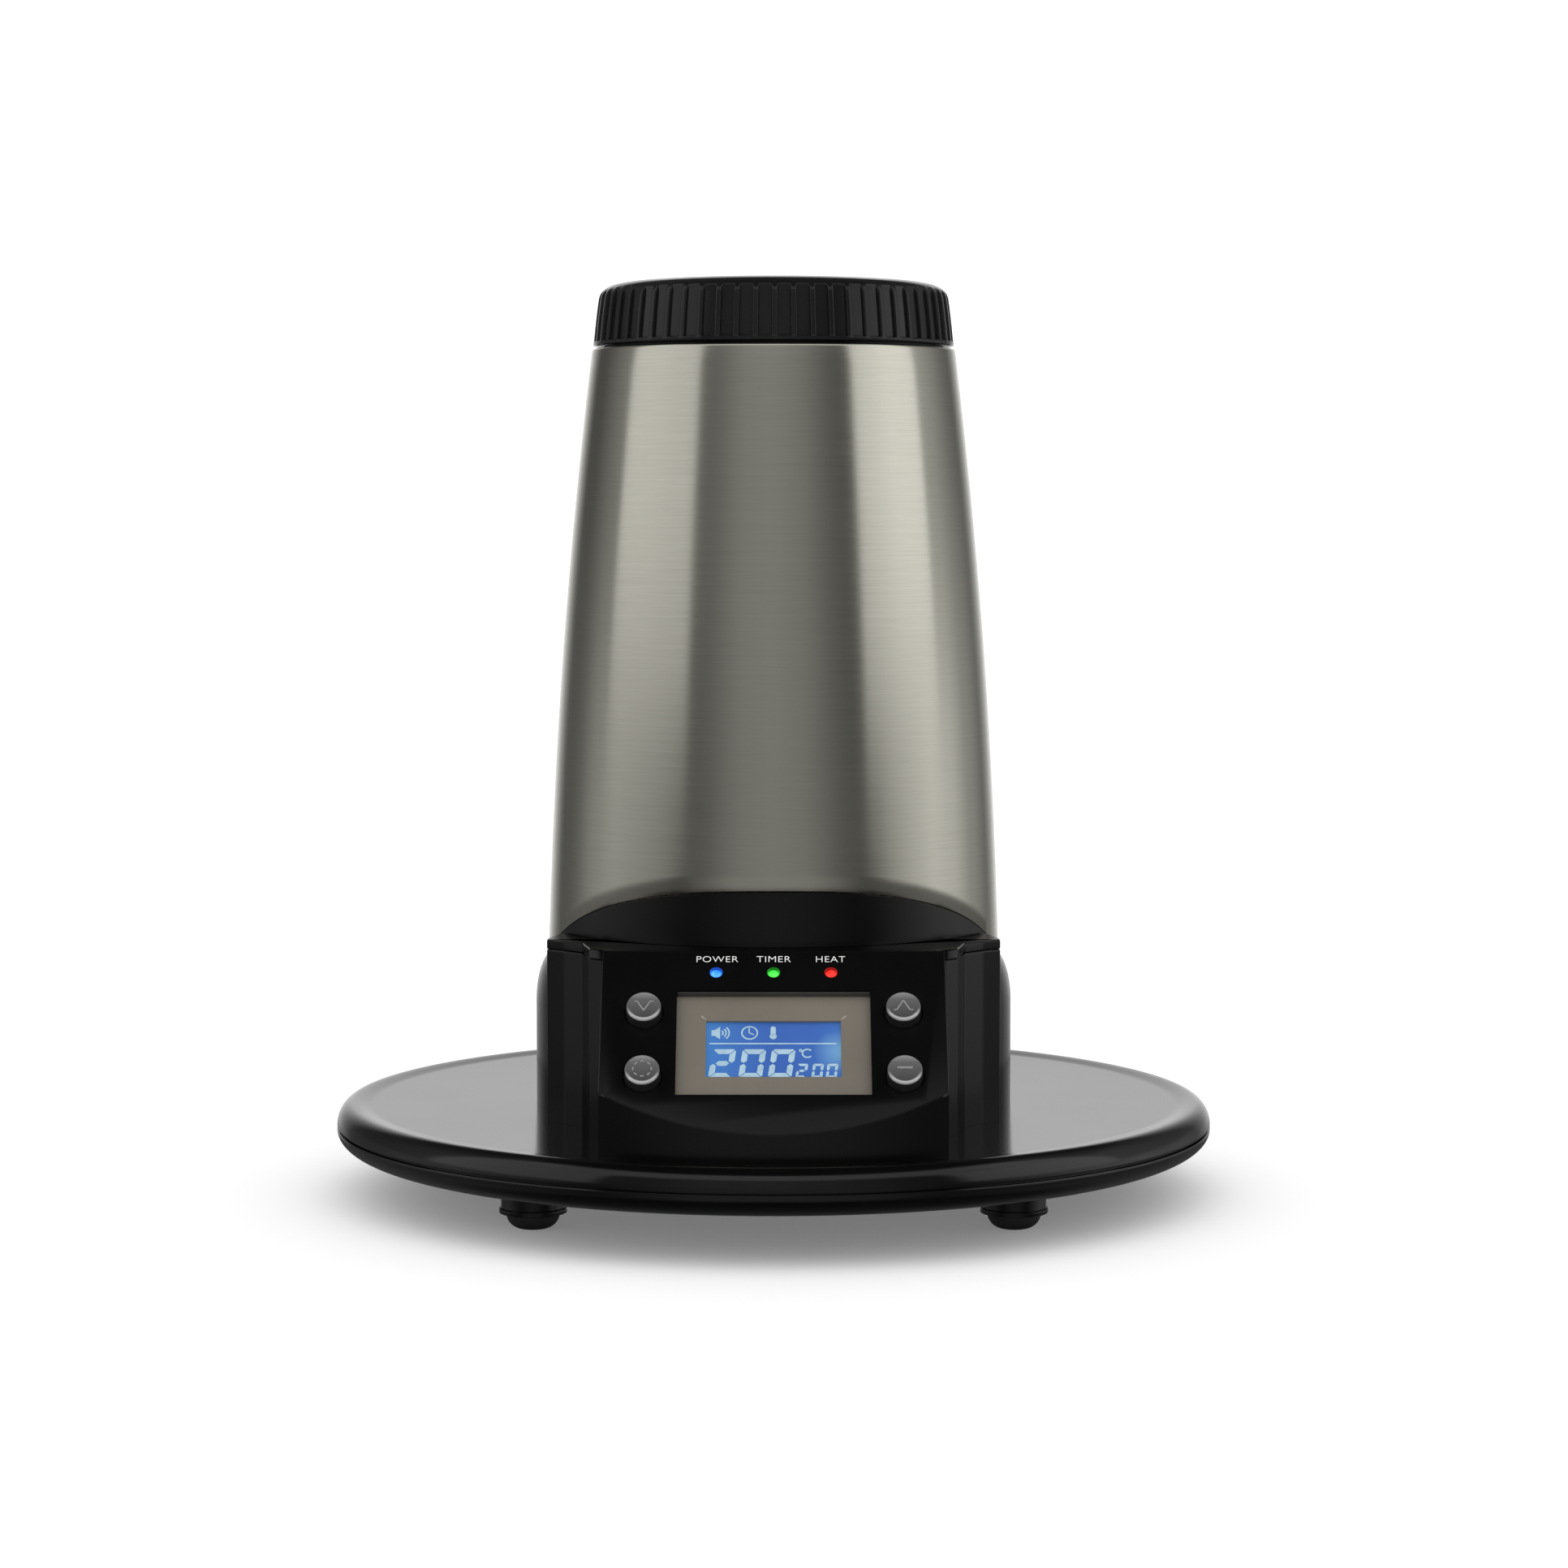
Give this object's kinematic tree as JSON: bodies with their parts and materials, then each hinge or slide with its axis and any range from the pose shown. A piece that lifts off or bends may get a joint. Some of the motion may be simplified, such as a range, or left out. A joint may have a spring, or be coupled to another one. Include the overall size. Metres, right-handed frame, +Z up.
{
  "type": "heated drying canister",
  "caption": "Tapered steel heated drying canister on a round black base, with a ribbed twist-off lid and a sloped front console with a display and push buttons.",
  "frame": {"origin": "centre of the base, on the surface that it stands on", "axes": "+Z up along the tower, the console faces -Y, +X to the right of the console seen from the front"},
  "size_m": [0.26, 0.26, 0.27],
  "materials": {
    "black_plastic": "moulded satin black",
    "lid_plastic": "moulded satin black",
    "panel_plastic": "fine matte black",
    "brushed_steel": "brushed round the tower",
    "aluminium": "spun satin",
    "ballast_steel": "bare plate",
    "screw_steel": "zinc plated",
    "rubber": "matte",
    "silicone": "translucent silicone",
    "grey_button": "satin grey",
    "tan_bezel": "satin tan",
    "blue_lcd": "backlit blue",
    "diffuser": "milky",
    "blue_led": "lit",
    "green_led": "lit",
    "red_led": "lit",
    "circuit_board": "solder mask",
    "dark_resin": "moulded",
    "mineral_wool": "loose fibre",
    "mica": "layered sheet",
    "heating_wire": "drawn wire"
  },
  "bodies": {
    "main_unit": {"base_top_shell": "black_plastic", "base_bottom_shell": "black_plastic", "tower_ring": "black_plastic", "front_collar": "black_plastic", "console_housing": "black_plastic", "console_top_cover": "black_plastic", "neck_ring": "black_plastic", "fan_frame": "black_plastic", "foot_socket_front_left": "black_plastic", "foot_pad_front_left": "rubber", "base_screw_front_left": "screw_steel", "foot_socket_front_right": "black_plastic", "foot_pad_front_right": "rubber", "base_screw_front_right": "screw_steel", "foot_socket_rear_left": "black_plastic", "foot_pad_rear_left": "rubber", "base_screw_rear_left": "screw_steel", "foot_socket_rear_right": "black_plastic", "foot_pad_rear_right": "rubber", "base_screw_rear_right": "screw_steel", "switch_left_upper": "dark_resin", "switch_left_lower": "dark_resin", "switch_right_upper": "dark_resin", "switch_right_lower": "dark_resin", "ballast_ring": "ballast_steel", "steel_shell": "brushed_steel", "drying_pot": "aluminium", "pot_floor_grid": "aluminium", "insulation_sleeve": "mineral_wool", "console_panel": "panel_plastic", "display_bezel": "tan_bezel", "lcd_cell": "blue_lcd", "display_backlight": "diffuser", "led_power": "blue_led", "led_timer": "green_led", "led_heat": "red_led", "led_board": "circuit_board", "control_board": "circuit_board", "power_board": "circuit_board", "buzzer": "dark_resin", "transformer": "dark_resin", "mains_inlet": "dark_resin", "fan_stator": "dark_resin", "thermal_fuse": "dark_resin", "temperature_sensor": "screw_steel", "air_duct": "aluminium", "heater_frame": "mica", "heater_coil": "heating_wire"},
    "lid_plug": {"lid_liner": "lid_plastic", "lid_gasket": "silicone"},
    "lid_cap": {"lid_shell": "lid_plastic"},
    "fan_rotor": {"fan_impeller": "black_plastic", "fan_shaft": "screw_steel"},
    "key_left_upper": {"button_left_upper": "grey_button"},
    "key_left_lower": {"button_left_lower": "grey_button"},
    "key_right_upper": {"button_right_upper": "grey_button"},
    "key_right_lower": {"button_right_lower": "grey_button"}
  },
  "joints": [
    {"name": "lid_lift", "type": "slide", "parent": "main_unit", "child": "lid_plug", "axis": [0, 0, 1], "range_m": [0, 0.12]},
    {"name": "lid_turn", "type": "hinge", "parent": "lid_plug", "child": "lid_cap", "pos_m": [0, 0, 0.26], "axis": [0, 0, 1], "range_deg": [0, 90]},
    {"name": "fan_spin", "type": "hinge", "parent": "main_unit", "child": "fan_rotor", "pos_m": [0, 0, 0.04], "axis": [0, 0, 1], "continuous": true},
    {"name": "press_left_upper", "type": "slide", "parent": "main_unit", "child": "key_left_upper", "axis": [0, 0.7071, -0.7071], "range_m": [0, 0.0008], "stiffness_N_per_m": 400, "springref_m": -0.0008},
    {"name": "press_left_lower", "type": "slide", "parent": "main_unit", "child": "key_left_lower", "axis": [0, 0.7071, -0.7071], "range_m": [0, 0.0008], "stiffness_N_per_m": 400, "springref_m": -0.0008},
    {"name": "press_right_upper", "type": "slide", "parent": "main_unit", "child": "key_right_upper", "axis": [0, 0.7071, -0.7071], "range_m": [0, 0.0008], "stiffness_N_per_m": 400, "springref_m": -0.0008},
    {"name": "press_right_lower", "type": "slide", "parent": "main_unit", "child": "key_right_lower", "axis": [0, 0.7071, -0.7071], "range_m": [0, 0.0008], "stiffness_N_per_m": 400, "springref_m": -0.0008}
  ]
}
